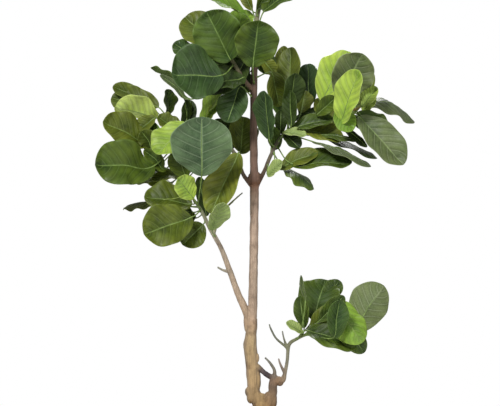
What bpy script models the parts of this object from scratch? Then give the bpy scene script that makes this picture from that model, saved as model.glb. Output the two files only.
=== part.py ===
"""Potted fiddle leaf fig: a plain tapered pot, soil, a forked woody stem and its leaves.

The frame stands on the ground, +Z up, with its origin under the middle of the pot's base.
The plant's front is towards -Y. Everything that grows is laid out in millimetres of a plant
1325 mm tall, measured from the soil's surface at the trunk, and PLANT_HEIGHT scales the layout.
"""

import math

import bmesh
import bpy
from mathutils import Vector

# Pot and soil, in metres
POT_HEIGHT = 0.200
POT_TOP_RADIUS = 0.120
POT_BASE_RADIUS = 0.086
POT_WALL = 0.007
POT_FLOOR = 0.010
RIM_DEPTH = 0.026
RIM_OUT = 0.005
RIM_ROUND = 0.003
BASE_ROUND = 0.004
SOIL_BELOW_RIM = 0.025
SOIL_CROWN = 0.006
POT_STEPS = 40

# Plant
PLANT_HEIGHT = 1.325
LAYOUT_HEIGHT = 1325.0
TRUNK_GIRTH = 1.0
TWIG_GIRTH = 1.0
TWIG_SIDES = 2
TWIG_STEPS = 2
BLADE_WIDTH = 1.0
BLADE_HALF_THICKNESS = 0.0007
PETIOLE_RADIUS = 0.0017

# The gap that two touching pieces keep
GAP = 0.0003

UNIT = PLANT_HEIGHT / LAYOUT_HEIGHT
SOIL_TOP = POT_HEIGHT - SOIL_BELOW_RIM

# Wood: the points that each piece of stem runs through, as x, y, z and its radius there
WOOD = {
    "trunk": [
        (0, 0, -85, 20), (0, 0, -5, 25), (2, 0, 25, 27), (2, 0, 50, 25), (-8, 0, 76, 20),
        (-21, 0, 104, 16), (-25, 0, 128, 16), (-27, 0, 167, 17), (-30, 0, 194, 17),
        (-33, 0, 222, 18), (-31, 0, 247, 16), (-28, 0, 277, 14.5), (-27, 0, 300, 14),
    ],
    "main_stem": [
        (-27, 0, 298, 12.5), (-25, 0, 351, 12), (-22, 0, 516, 11.5), (-21, 0, 640, 11.5),
        (-21, 0, 670, 14), (-22, 0, 700, 11), (-23, 0, 846, 9.5), (-22, 0, 942, 9),
        (-19, 2, 1039, 7.5), (-15, 2, 1108, 6), (-8, 2, 1180, 5), (-7, 2, 1230, 3.5),
    ],
    "left_branch": [
        (-28, 0, 276, 10), (-38, -1, 308, 9.5), (-52, -8, 343, 8.5), (-66, -16, 375, 8),
        (-96, -30, 454, 7), (-112, -38, 495, 6), (-128, -46, 525, 6), (-144, -54, 553, 5),
        (-158, -60, 583, 4.5), (-171, -62, 607, 4), (-185, -60, 626, 3.5),
    ],
    "crown_twig": [
        (-22, 0, 925, 6), (-47, -20, 952, 5.5), (-66, -36, 981, 5), (-85, -48, 1012, 4.5),
        (-96, -52, 1045, 4), (-98, -50, 1072, 3),
    ],
    "left_twig": [
        (-20, 0, 655, 6.5), (-49, -4, 692, 5), (-63, -2, 725, 4.8), (-80, 6, 761, 4.8),
        (-110, 20, 789, 5), (-155, 38, 809, 4.5), (-200, 54, 821, 4), (-239, 66, 827, 3.5),
        (-268, 74, 839, 3),
    ],
    "right_twig": [
        (-20, 0, 655, 6.5), (5, -6, 703, 5), (22, -10, 744, 4.8), (38, -6, 777, 4.8),
        (61, 6, 808, 5), (94, 14, 830, 4.5), (138, 10, 844, 4.5), (187, -6, 849, 4),
        (224, -24, 859, 3.5), (250, -40, 871, 3),
    ],
    "right_shoot": [
        (30, -6, 128, 8), (48, -9, 130, 9), (57, -10, 134, 8), (62, -10, 148, 5),
        (69, -8, 184, 4), (72, -6, 220, 4.5), (78, -4, 234, 4.5), (93, -2, 243, 4),
        (116, 0, 254, 3.5), (145, 0, 262, 3.5), (175, -4, 272, 3),
    ],
}

# Spurs, dead stubs and side twigs, grown into the piece that they stand on
SPURS = {
    "trunk": [
        [(2, 0, 30, 20), (14, -2, 60, 20), (22, -3, 84, 17), (28, -4, 100, 12.5),
         (30, -5, 120, 11.5), (33, -6, 146, 9)],
        [(-20, 0, 176, 6), (-8, -4, 168, 5), (4, -8, 157, 5), (18, -9, 144, 6), (32, -6, 138, 7)],
        [(33, -6, 138, 5), (34, -14, 159, 4), (22, -20, 180, 3), (8, -22, 195, 2)],
    ],
    "left_branch": [
        [(-88, -26, 430, 4), (-105, -34, 434, 3), (-122, -38, 443, 2)],
        [(-133, -50, 532, 4), (-112, -62, 588, 2.5), (-80, -66, 622, 2), (-53, -66, 646, 1.2)],
    ],
    "right_shoot": [
        [(72, -6, 218, 4), (60, -10, 228, 3), (38, -18, 248, 2.5), (23, -24, 276, 2), (20, -25, 287, 1.2)],
        [(68, -6, 222, 3), (60, -2, 246, 2), (56, 4, 266, 1.2)],
        [(62, -10, 152, 3.5), (54, -20, 168, 3), (48, -24, 182, 2.5), (45, -25, 193, 1.5)],
    ],
}

# What each branch grows from: its foot is cut to fit against these
GROWS_FROM = {
    "main_stem": ["trunk"],
    "left_branch": ["trunk", "main_stem"],
    "crown_twig": ["main_stem"],
    "left_twig": ["main_stem"],
    "right_twig": ["main_stem", "left_twig"],
    "right_shoot": ["trunk"],
}

# Leaves: name, the twig that bears it, the place along the twig in the twig's own points, where
# the blade begins and its tip, its width, where its upper face looks, how far its middle arches
# towards that side, how far its edges turn to that side, and its tone
LEAVES = [
    ("top_leaf_1", "main_stem", 8.6, (-45, -30, 1132), (-178, -100, 1184),
     98, (0.2, -0.6, 0.8), 10, 4, "bright"),
    ("top_leaf_2", "main_stem", 8.4, (4, -28, 1140), (112, 30, 1226), 92, (-0.3, -0.7, 0.6), 8, 4, "dark"),
    ("top_leaf_3", "main_stem", 9.8, (-12, 22, 1225), (-35, -30, 1320),
     120, (0.1, -0.9, 0.4), 6, 6, "young"),
    ("top_leaf_4", "main_stem", 9.0, (-45, 30, 1215), (-110, 110, 1310),
     95, (-0.5, 0.3, 0.8), 8, 4, "dark"),
    ("top_leaf_5", "main_stem", 9.2, (15, 46, 1208), (85, 110, 1300), 100, (0.4, 0.4, 0.8), 8, 4, "dark"),
    ("upper_left_leaf_1", "crown_twig", 4.0, (-112, 4, 1038), (-214, 60, 1136),
     105, (-0.3, -0.7, 0.6), 8, 4, "olive"),
    ("upper_left_leaf_2", "crown_twig", 4.7, (-85, -75, 1005), (-150, -125, 1130),
     130, (-0.2, -0.9, 0.3), 8, 6, "green"),
    ("upper_left_leaf_3", "crown_twig", 2.5, (-108, -100, 962), (-240, -170, 958),
     155, (-0.3, -0.9, 0.2), 8, 8, "green"),
    ("upper_left_leaf_4", "main_stem", 7.0, (-25, -80, 985), (-10, -135, 1105),
     120, (0.1, -0.9, 0.2), 6, 6, "dark"),
    ("upper_left_leaf_5", "crown_twig", 4.6, (-70, 2, 1050), (-57, 60, 1155),
     90, (-0.2, -0.8, 0.5), 6, 4, "young"),
    ("upper_left_leaf_6", "crown_twig", 1.4, (-50, -45, 960), (-145, -105, 940),
     95, (-0.2, -0.8, 0.5), 4, 4, "dark"),
    ("upper_left_leaf_7", "main_stem", 6.6, (-60, -40, 935), (-95, -90, 835),
     85, (-0.2, -0.9, 0.1), 4, 4, "dark"),
    ("upper_left_leaf_8", "crown_twig", 2.0, (-200, 30, 935), (-310, 90, 995),
     70, (0.3, 0.1, 0.9), 6, 2, "dark"),
    ("upper_left_leaf_9", "left_twig", 5.4, (-170, 20, 840), (-110, -20, 925),
     70, (-0.7, -0.5, 0.4), 4, 4, "bright"),
    ("left_leaf_1", "left_twig", 7.5, (-290, 100, 887), (-425, 125, 915),
     88, (0.1, -0.9, 0.4), 6, 4, "olive"),
    ("left_leaf_2", "left_twig", 7.2, (-290, 60, 855), (-405, 20, 885),
     100, (-0.1, 0.6, 0.8), 8, 4, "light"),
    ("left_leaf_3", "left_twig", 6.6, (-310, 30, 785), (-435, -30, 840),
     100, (-0.2, -0.8, 0.5), 8, 4, "olive"),
    ("left_leaf_4", "left_twig", 6.2, (-295, -25, 720), (-450, -95, 720),
     135, (-0.1, -0.9, 0.3), 10, 6, "dark"),
    ("left_leaf_5", "left_twig", 5.6, (-205, -20, 836), (-286, -75, 750),
     100, (-0.3, -0.8, 0.4), 4, 4, "bright"),
    ("left_leaf_6", "left_twig", 8.0, (-260, 70, 865), (-265, 60, 935), 65, (0.8, -0.5, 0.1), 4, 4, "dark"),
    ("left_leaf_7", "left_branch", 9.3, (-162, -135, 690), (-160, -195, 845),
     165, (0, -1, 0.2), 8, 8, "blue"),
    ("left_leaf_8", "left_twig", 3.0, (-60, 50, 755), (-50, 100, 860), 85, (0.3, -0.8, 0.4), 4, 4, "dark"),
    ("left_leaf_9", "left_twig", 2.6, (-65, -45, 753), (-140, -90, 590),
     92, (-0.3, -0.9, 0.1), 8, 6, "olive"),
    ("left_leaf_10", "left_branch", 8.6, (-185, -95, 630), (-225, -140, 685),
     65, (-0.2, -0.8, 0.5), 4, 4, "bright"),
    ("left_leaf_11", "left_twig", 5.0, (-245, 80, 680), (-370, 110, 695),
     85, (0, -0.3, 0.9), 6, -4, "olive"),
    ("lower_left_leaf_1", "left_branch", 9.0, (-275, 10, 612), (-385, 75, 605),
     75, (0, -0.2, 1), 8, -4, "olive"),
    ("lower_left_leaf_2", "left_branch", 9.9, (-190, -45, 615), (-320, -60, 635),
     100, (0.1, -0.75, 0.6), 8, 4, "olive"),
    ("lower_left_leaf_3", "left_branch", 8.6, (-190, -95, 580), (-315, -150, 535),
     120, (-0.1, -0.9, 0.2), 8, 6, "olive"),
    ("lower_left_leaf_4", "left_branch", 7.6, (-160, -60, 560), (-215, -85, 505),
     75, (0.2, -0.9, 0.3), 4, 4, "olive"),
    ("lower_left_leaf_5", "left_branch", 6.0, (-135, -90, 545), (-105, -150, 620),
     60, (0.4, -0.8, 0.4), 4, 4, "light"),
    ("right_leaf_1", "right_twig", 1.6, (15, -30, 695), (55, -60, 730),
     40, (-0.4, -0.8, 0.4), 2, 2, "bright"),
    ("right_leaf_2", "right_twig", 2.4, (60, -20, 715), (140, -50, 655),
     75, (0.4, -0.4, 0.8), 6, -2, "dark"),
    ("right_leaf_3", "right_twig", 3.0, (80, -50, 725), (240, -110, 725),
     100, (0, -0.6, 0.8), 10, 4, "dark"),
    ("right_leaf_4", "right_twig", 4.1, (135, -65, 785), (290, -125, 715),
     70, (0.3, -0.25, 0.95), 8, -2, "blue"),
    ("right_leaf_5", "right_twig", 5.6, (165, 5, 800), (315, -25, 740),
     70, (0.3, -0.25, 0.95), 8, -2, "dark"),
    ("right_leaf_6", "right_twig", 2.8, (20, -50, 790), (5, -95, 920), 70, (-0.6, -0.8, 0.1), 4, 4, "dark"),
    ("right_leaf_7", "right_twig", 4.6, (80, 50, 890), (80, 100, 1055),
     85, (-0.6, -0.8, 0.1), 6, 4, "olive"),
    ("right_leaf_8", "right_twig", 4.3, (75, -20, 875), (90, -60, 970), 65, (0.4, -0.9, 0.2), 4, 4, "blue"),
    ("right_leaf_9", "main_stem", 7.2, (25, -20, 975), (50, 20, 885), 65, (0.3, -0.9, 0.3), 4, 4, "olive"),
    ("right_leaf_10", "right_twig", 5.2, (130, 60, 885), (130, 120, 1010),
     75, (-0.4, -0.9, 0.2), 4, 4, "blue"),
    ("right_leaf_11", "right_twig", 6.0, (165, 30, 900), (240, 100, 1045),
     100, (-0.2, -0.9, 0.4), 6, 4, "bright"),
    ("right_leaf_12", "right_twig", 7.2, (210, -45, 905), (270, -95, 1020),
     115, (0.3, -0.9, 0.3), 6, 8, "green"),
    ("right_leaf_13", "right_twig", 7.6, (210, -95, 835), (255, -165, 970),
     85, (-0.5, -0.8, 0.2), 6, 6, "bright"),
    ("right_leaf_14", "right_twig", 9.0, (270, 0, 890), (425, 60, 845),
     90, (0.1, -0.5, 0.9), 28, -4, "dark"),
    ("right_leaf_15", "right_twig", 8.4, (260, -50, 865), (335, -95, 800),
     75, (0.1, -0.7, 0.7), 4, 4, "dark"),
    ("right_leaf_16", "right_twig", 7.8, (260, -95, 850), (375, -150, 720),
     95, (-0.1, -0.7, 0.6), 10, 4, "dark"),
    ("right_leaf_17", "right_twig", 4.9, (105, -17, 822), (222, -36, 792),
     75, (0, -0.7, 0.7), 6, 4, "olive"),
    ("low_right_leaf_1", "right_shoot", 7.4, (140, 40, 293), (178, 90, 403),
     120, (-0.1, -0.8, 0.6), 6, 6, "dark"),
    ("low_right_leaf_2", "right_shoot", 8.6, (246, 5, 270), (340, 60, 388),
     115, (0.3, 0.8, 0.5), 6, 6, "blue"),
    ("low_right_leaf_3", "right_shoot", 9.3, (198, -40, 345), (266, -95, 240),
     90, (-0.1, -0.8, 0.5), 8, -8, "young"),
    ("low_right_leaf_4", "right_shoot", 7.0, (122, -35, 270), (262, -55, 232),
     95, (0, -0.75, 0.65), 8, 4, "dark"),
]

LEAF_SIDES = 8
PETIOLE_RINGS = (0.0, 0.55)
BLADE_RINGS = (0.0, 0.12, 0.3, 0.5, 0.7, 0.87, 1.0)
TIP_HALF_WIDTH = 0.0018

# Colour as linear red, green, blue; roughness; metallic
FINISHES = {
    "terracotta": ((0.42, 0.15, 0.08), 0.75, 0.0),
    "soil_mix": ((0.030, 0.018, 0.010), 0.95, 0.0),
    "bark": ((0.36, 0.25, 0.16), 0.85, 0.0),
    "leaf_dark": ((0.040, 0.085, 0.020), 0.35, 0.0),
    "leaf_blue": ((0.050, 0.110, 0.040), 0.30, 0.0),
    "leaf_green": ((0.060, 0.140, 0.030), 0.38, 0.0),
    "leaf_olive": ((0.100, 0.140, 0.030), 0.40, 0.0),
    "leaf_bright": ((0.190, 0.340, 0.060), 0.45, 0.0),
    "leaf_light": ((0.280, 0.430, 0.130), 0.50, 0.0),
    "leaf_young": ((0.340, 0.480, 0.110), 0.45, 0.0),
}


def clear_scene():
    for obj in list(bpy.data.objects):
        bpy.data.objects.remove(obj, do_unlink=True)


def collection(name):
    made = bpy.data.collections.new(name)
    bpy.context.scene.collection.children.link(made)
    return made


def finish(name):
    found = bpy.data.materials.get(name)
    if found:
        return found
    colour, roughness, metallic = FINISHES[name]
    made = bpy.data.materials.new(name)
    made.use_nodes = True
    shader = made.node_tree.nodes["Principled BSDF"]
    shader.inputs["Base Color"].default_value = (*colour, 1.0)
    shader.inputs["Roughness"].default_value = roughness
    shader.inputs["Metallic"].default_value = metallic
    return made


def add_object(name, mesh, group, material):
    obj = bpy.data.objects.new(name, mesh)
    if material:
        mesh.materials.append(finish(material))
    mesh.shade_smooth()
    mesh.set_sharp_from_angle(angle=math.radians(35))
    group.objects.link(obj)
    return obj


def grown(point):
    """A point of the plant's layout, in metres above the ground."""
    x, y, z = point[:3]
    return Vector((x * UNIT, y * UNIT, SOIL_TOP + z * UNIT))


def between(points, place):
    """The point of a smooth curve through all the points, at a place counted in points."""
    last = len(points) - 1
    i = min(int(place), last - 1)
    t = place - i
    p1, p2 = points[i], points[i + 1]
    p0 = points[i - 1] if i else p1 * 2 - p2
    p3 = points[i + 2] if i + 2 <= last else p2 * 2 - p1
    return 0.5 * (
        p1 * 2 + (p2 - p0) * t + (p0 * 2 - p1 * 5 + p2 * 4 - p3) * t * t
        + (p1 * 3 - p0 - p2 * 3 + p3) * t * t * t
    )


def along_wood(route, girth, place):
    """Centre and radius of a stem at a place along it."""
    centre = between([grown(p) for p in route], place)
    i = min(int(place), len(route) - 2)
    share = place - i
    radius = (route[i][3] * (1 - share) + route[i + 1][3] * share) * UNIT * girth
    return centre, radius


def tube_mesh(name, route, girth, extra=0.0):
    """A round stem along its route, as a closed mesh; extra makes it stouter and longer all over."""
    count = (len(route) - 1) * TWIG_STEPS + 1
    curve = bpy.data.curves.new(name, "CURVE")
    curve.dimensions = "3D"
    curve.bevel_depth = 1.0
    curve.bevel_resolution = TWIG_SIDES
    curve.use_fill_caps = True
    line = curve.splines.new("POLY")
    line.points.add(count - 1)
    stations = [along_wood(route, girth, i / TWIG_STEPS) for i in range(count)]
    first, second, second_last, last = (stations[i][0] for i in (0, 1, -2, -1))
    ends = {
        0: (first - second).normalized() * extra,
        count - 1: (last - second_last).normalized() * extra,
    }
    for i, point in enumerate(line.points):
        centre, radius = stations[i]
        point.co = (*(centre + ends.get(i, Vector())), 1.0)
        point.radius = radius + extra
    obj = bpy.data.objects.new(name, curve)
    bpy.context.scene.collection.objects.link(obj)
    bpy.context.view_layer.update()
    graph = bpy.context.evaluated_depsgraph_get()
    mesh = bpy.data.meshes.new_from_object(obj.evaluated_get(graph))
    mesh.transform(obj.matrix_world)
    mesh.name = name
    bpy.data.objects.remove(obj, do_unlink=True)
    shape = bmesh.new()
    shape.from_mesh(mesh)
    bmesh.ops.remove_doubles(shape, verts=shape.verts, dist=0.000001)
    bmesh.ops.recalc_face_normals(shape, faces=shape.faces)
    shape.to_mesh(mesh)
    shape.free()
    return mesh


def boolean(obj, other, operation):
    modifier = obj.modifiers.new(f"{operation.lower()} {other.name}", "BOOLEAN")
    modifier.operation = operation
    modifier.object = other


def helper(name, mesh, group):
    obj = add_object(name, mesh, group, None)
    obj.hide_render = True
    obj.display_type = "WIRE"
    return obj


def girth_of(name):
    return TRUNK_GIRTH if name in ("trunk", "main_stem") else TWIG_GIRTH


def add_wood(plant, helpers):
    """Each stem and branch, its spurs grown in, its foot cut to the pieces that it grows from."""
    for name, route in WOOD.items():
        obj = add_object(name, tube_mesh(name, route, girth_of(name)), plant, "bark")
        for i, spur in enumerate(SPURS.get(name, [])):
            label = f"{name}_spur_{i + 1}"
            mesh = tube_mesh(label, spur, girth_of(name))
            boolean(obj, helper(label, mesh, helpers), "UNION")
        for parent in GROWS_FROM.get(name, []):
            for i, route in enumerate([WOOD[parent]] + SPURS.get(parent, [])):
                label = f"{name}_seat_on_{parent}_{i}"
                mesh = tube_mesh(label, route, girth_of(parent), GAP)
                boolean(obj, helper(label, mesh, helpers), "DIFFERENCE")


def turned(name, profile, group, material):
    """A profile of (radius, height) turned round the upright axis, run down its outer side first."""
    mesh = bpy.data.meshes.new(name)
    shape = bmesh.new()
    points = [shape.verts.new((r, 0, z)) for r, z in profile]
    for first, second in zip(points, points[1:]):
        shape.edges.new((first, second))
    shape.to_mesh(mesh)
    shape.free()
    obj = add_object(name, mesh, group, material)
    screw = obj.modifiers.new("turn", "SCREW")
    screw.steps = POT_STEPS
    screw.render_steps = POT_STEPS
    screw.use_merge_vertices = True
    screw.merge_threshold = 0.00001
    return obj


def outer_radius(height):
    """Outer radius of the pot's tapered side at a height."""
    return POT_BASE_RADIUS + (POT_TOP_RADIUS - POT_BASE_RADIUS) * height / POT_HEIGHT


def add_pot(group):
    band = POT_HEIGHT - RIM_DEPTH
    rim = POT_TOP_RADIUS + RIM_OUT
    inside_top = POT_TOP_RADIUS - POT_WALL
    inside_floor = outer_radius(POT_FLOOR) - POT_WALL
    profile = [
        (inside_top, POT_HEIGHT - RIM_ROUND),
        (inside_top + RIM_ROUND, POT_HEIGHT),
        (rim - RIM_ROUND, POT_HEIGHT),
        (rim, POT_HEIGHT - RIM_ROUND),
        (rim, band + RIM_ROUND),
        (rim - RIM_ROUND, band),
        (outer_radius(band), band),
        (outer_radius(BASE_ROUND), BASE_ROUND),
        (POT_BASE_RADIUS - BASE_ROUND, 0),
        (0, 0),
    ]
    inside = [(0, POT_FLOOR), (inside_floor, POT_FLOOR), (inside_top, POT_HEIGHT - RIM_ROUND)]
    turned("pot", profile + inside, group, "terracotta")


def inner_radius(height):
    """Radius of the pot's inner wall at a height."""
    low = outer_radius(POT_FLOOR) - POT_WALL
    high = POT_TOP_RADIUS - POT_WALL
    share = (height - POT_FLOOR) / (POT_HEIGHT - RIM_ROUND - POT_FLOOR)
    return low + (high - low) * share


def add_soil(plant, helpers):
    """The soil, gently crowned, with a socket that the trunk's foot stands in."""
    floor = POT_FLOOR + GAP
    edge = SOIL_TOP - SOIL_CROWN
    profile = [
        (0, SOIL_TOP),
        (inner_radius(edge) * 0.45, SOIL_TOP),
        (inner_radius(edge) * 0.8, SOIL_TOP - SOIL_CROWN * 0.45),
        (inner_radius(edge) - GAP * 1.5, edge),
        (inner_radius(floor) - GAP * 1.5, floor),
        (0, floor),
    ]
    soil = turned("soil", profile, plant, "soil_mix")
    mesh = tube_mesh("trunk_socket", WOOD["trunk"], TRUNK_GIRTH, GAP)
    boolean(soil, helper("trunk_socket", mesh, helpers), "DIFFERENCE")
    stump = tube_mesh("stump_socket", SPURS["trunk"][0], TRUNK_GIRTH, GAP)
    boolean(soil, helper("stump_socket", stump, helpers), "DIFFERENCE")


def outline(u):
    """Half width of a fiddle-shaped blade, as a share of its greatest, from its base to its tip."""
    return math.sin(math.pi * u ** 1.25) ** 0.5


def petiole_start(twig, place, blade_start):
    """Where a leaf's stalk leaves the twig, just clear of the bark."""
    route = WOOD[twig]
    centre, radius = along_wood(route, girth_of(twig), place)
    step = 0.05
    ahead, _ = along_wood(route, girth_of(twig), place + step)
    behind, _ = along_wood(route, girth_of(twig), place - step)
    tangent = (ahead - behind).normalized()
    towards = (blade_start - centre).normalized()
    lean = abs(towards.dot(tangent))
    rise = math.sqrt(1 - lean * lean)
    return centre + towards * (radius + GAP + PETIOLE_RADIUS * lean) / rise


def leaf_rings(start, blade_start, tip, faces, arch):
    """Each ring's place on the blade, centre, forward and sideways directions, without any twist."""
    middle = (blade_start + tip) / 2 + faces * arch
    spine = [start, blade_start, middle, tip]
    places = list(PETIOLE_RINGS) + [1 + 2 * u for u in BLADE_RINGS]
    nudge = 0.01
    centres = [between(spine, place) for place in places]
    forwards = [
        (between(spine, min(place + nudge, 3)) - between(spine, max(place - nudge, 0))).normalized()
        for place in places
    ]
    steady = len(PETIOLE_RINGS) + BLADE_RINGS.index(0.5)
    sides = {steady: faces.cross(forwards[steady]).normalized()}
    for i in range(steady + 1, len(places)):
        sides[i] = forwards[i - 1].rotation_difference(forwards[i]) @ sides[i - 1]
    for i in range(steady - 1, -1, -1):
        sides[i] = forwards[i + 1].rotation_difference(forwards[i]) @ sides[i + 1]
    return [((p - 1) / 2, centres[i], forwards[i], sides[i]) for i, p in enumerate(places)]


def leaf_mesh(name, start, blade_start, tip, half_width, faces, arch, cup):
    """A stalk and blade in one closed skin: a cylinder cut into rings, each moved to its place."""
    rings = leaf_rings(start, blade_start, tip, faces, arch)
    shape = bmesh.new()
    bmesh.ops.create_cone(
        shape, segments=LEAF_SIDES, radius1=1, radius2=1, depth=1, cap_ends=True
    )
    uprights = [e for e in shape.edges if abs(e.verts[0].co.z - e.verts[1].co.z) > 0.5]
    bmesh.ops.subdivide_edges(shape, edges=uprights, cuts=len(rings) - 2)
    for vert in shape.verts:
        u, centre, forward, side = rings[round((vert.co.z + 0.5) * (len(rings) - 1))]
        angle = math.atan2(vert.co.y, vert.co.x)
        up = forward.cross(side)
        blade = max(u, 0.0)
        least = TIP_HALF_WIDTH if u > 0.5 else PETIOLE_RADIUS
        width = max(half_width * outline(blade), least)
        fade = max(0.0, 1 - blade / 0.35)
        half_thick = BLADE_HALF_THICKNESS + (PETIOLE_RADIUS - BLADE_HALF_THICKNESS) * fade
        across = math.cos(angle) * width
        turn = cup * (across / half_width) ** 2 if u > 0 else 0.0
        vert.co = centre + side * across + up * (math.sin(angle) * half_thick + turn)
    mesh = bpy.data.meshes.new(name)
    shape.to_mesh(mesh)
    shape.free()
    return mesh


def add_leaves(plant):
    for name, twig, place, blade_start, tip, width, faces, arch, cup, tone in LEAVES:
        base = grown(blade_start)
        start = petiole_start(twig, place, base)
        half_width = width / 2 * UNIT * BLADE_WIDTH
        looks = Vector(faces).normalized()
        mesh = leaf_mesh(name, start, base, grown(tip), half_width, looks, arch * UNIT, cup * UNIT)
        add_object(name, mesh, plant, f"leaf_{tone}")


def main():
    clear_scene()
    plant = collection("potted_fiddle_leaf_fig")
    helpers = collection("cutters")
    add_pot(plant)
    add_soil(plant, helpers)
    add_wood(plant, helpers)
    add_leaves(plant)


main()
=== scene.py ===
import math
import random

import bpy
from mathutils import Matrix, Vector, noise
from mathutils.kdtree import KDTree


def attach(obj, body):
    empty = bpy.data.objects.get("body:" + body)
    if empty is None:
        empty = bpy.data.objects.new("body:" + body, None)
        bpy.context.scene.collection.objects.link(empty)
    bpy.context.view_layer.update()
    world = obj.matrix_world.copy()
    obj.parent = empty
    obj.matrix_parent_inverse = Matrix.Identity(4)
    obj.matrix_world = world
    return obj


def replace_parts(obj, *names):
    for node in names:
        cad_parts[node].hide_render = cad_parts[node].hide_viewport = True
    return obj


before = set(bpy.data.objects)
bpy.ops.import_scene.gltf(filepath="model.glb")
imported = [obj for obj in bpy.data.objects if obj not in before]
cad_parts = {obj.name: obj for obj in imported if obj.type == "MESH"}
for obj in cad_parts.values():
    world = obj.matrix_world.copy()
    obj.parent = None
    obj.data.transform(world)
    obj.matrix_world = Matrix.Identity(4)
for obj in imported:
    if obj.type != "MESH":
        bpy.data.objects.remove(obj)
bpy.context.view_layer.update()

print("frame loaded:", len(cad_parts), "nodes")

# Lengths in the layout are millimetres above the soil; the plant faces -Y.
plant = {"mm": 0.001, "soilTop": 0.175}


def grown(point):
    return Vector((point[0] * plant["mm"], point[1] * plant["mm"], plant["soilTop"] + point[2] * plant["mm"]))


def between(points, place):  # smooth curve through all the points, place counted in points
    last = len(points) - 1
    i = min(int(place), last - 1)
    t = place - i
    p1, p2 = points[i], points[i + 1]
    p0 = points[i - 1] if i else p1 * 2 - p2
    p3 = points[i + 2] if i + 2 <= last else p2 * 2 - p1
    return 0.5 * (p1 * 2 + (p2 - p0) * t + (p0 * 2 - p1 * 5 + p2 * 4 - p3) * t * t
                  + (p1 * 3 - p0 - p2 * 3 + p3) * t * t * t)


def alongRoute(route, place):  # centre and radius of a stem
    i = min(int(place), len(route) - 2)
    share = place - i
    radius = (route[i][3] * (1 - share) + route[i + 1][3] * share) * plant["mm"]
    return between([grown(p) for p in route], place), radius


def smooth(low, high, value):
    t = min(max((value - low) / (high - low), 0.0), 1.0)
    return t * t * (3 - 2 * t)


def deselect():
    if bpy.context.object and bpy.context.object.mode != "OBJECT":
        bpy.ops.object.mode_set(mode="OBJECT")
    bpy.ops.object.select_all(action="DESELECT")


def only(piece):
    deselect()
    piece.select_set(True)
    bpy.context.view_layer.objects.active = piece
    return piece


def joined(pieces, name):
    only(pieces[0])
    for piece in pieces:
        piece.select_set(True)
    bpy.ops.object.join()
    pieces[0].name = name
    return pieces[0]


def applyAll(piece):
    only(piece)
    for modifier in list(piece.modifiers):
        bpy.ops.object.modifier_apply(modifier=modifier.name)


def shadeSmooth(piece):
    only(piece)
    bpy.ops.object.shade_smooth()


def dress(piece, *materials):
    piece.data.materials.clear()
    for material in materials:
        piece.data.materials.append(material)


def tidyShell(piece):  # merges doubles and points every face outwards
    only(piece)
    bpy.ops.object.mode_set(mode="EDIT")
    bpy.ops.mesh.select_all(action="SELECT")
    bpy.ops.mesh.remove_doubles(threshold=0.000002)
    bpy.ops.mesh.normals_make_consistent(inside=False)
    bpy.ops.object.mode_set(mode="OBJECT")


def addTube(name, stations, roundness):  # stations are (centre, radius) in metres
    deselect()
    bpy.ops.curve.primitive_nurbs_path_add(location=(0, 0, 0))
    tube = bpy.context.object
    tube.name = name
    curve = tube.data
    curve.splines.clear()
    line = curve.splines.new("POLY")
    line.points.add(len(stations) - 1)
    for point, (centre, radius) in zip(line.points, stations):
        point.co = (*centre, 1.0)
        point.radius = radius
    curve.bevel_depth = 1.0
    curve.bevel_resolution = roundness
    curve.use_fill_caps = True
    bpy.ops.object.convert(target="MESH")
    tube = bpy.context.object
    tidyShell(tube)
    return tube


def colour(text):  # sRGB hex to the linear values a shader takes
    channels = [int(text[i:i + 2], 16) / 255 for i in (1, 3, 5)]
    return (*[c / 12.92 if c <= 0.04045 else ((c + 0.055) / 1.055) ** 2.4 for c in channels], 1.0)


def addNode(tree, kind, inputs=None, stops=None, **settings):
    made = tree.nodes.new("ShaderNode" + kind)
    for name, value in settings.items():
        setattr(made, name, value)
    for i, (place, value) in enumerate(stops or []):
        stop = made.color_ramp.elements[i] if i < 2 else made.color_ramp.elements.new(place)
        stop.position, stop.color = place, value
    for socket, value in (inputs or {}).items():
        if isinstance(value, bpy.types.NodeSocket):
            tree.links.new(value, made.inputs[socket])
        else:
            made.inputs[socket].default_value = value
    return made


def newMaterial(name, **sockets):  # a Principled material with its fixed values set
    material = bpy.data.materials.new(name)
    material.use_nodes = True
    shader = material.node_tree.nodes["Principled BSDF"]
    for socket, value in sockets.items():
        shader.inputs[socket.replace("_", " ")].default_value = value
    return material, material.node_tree, shader


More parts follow.
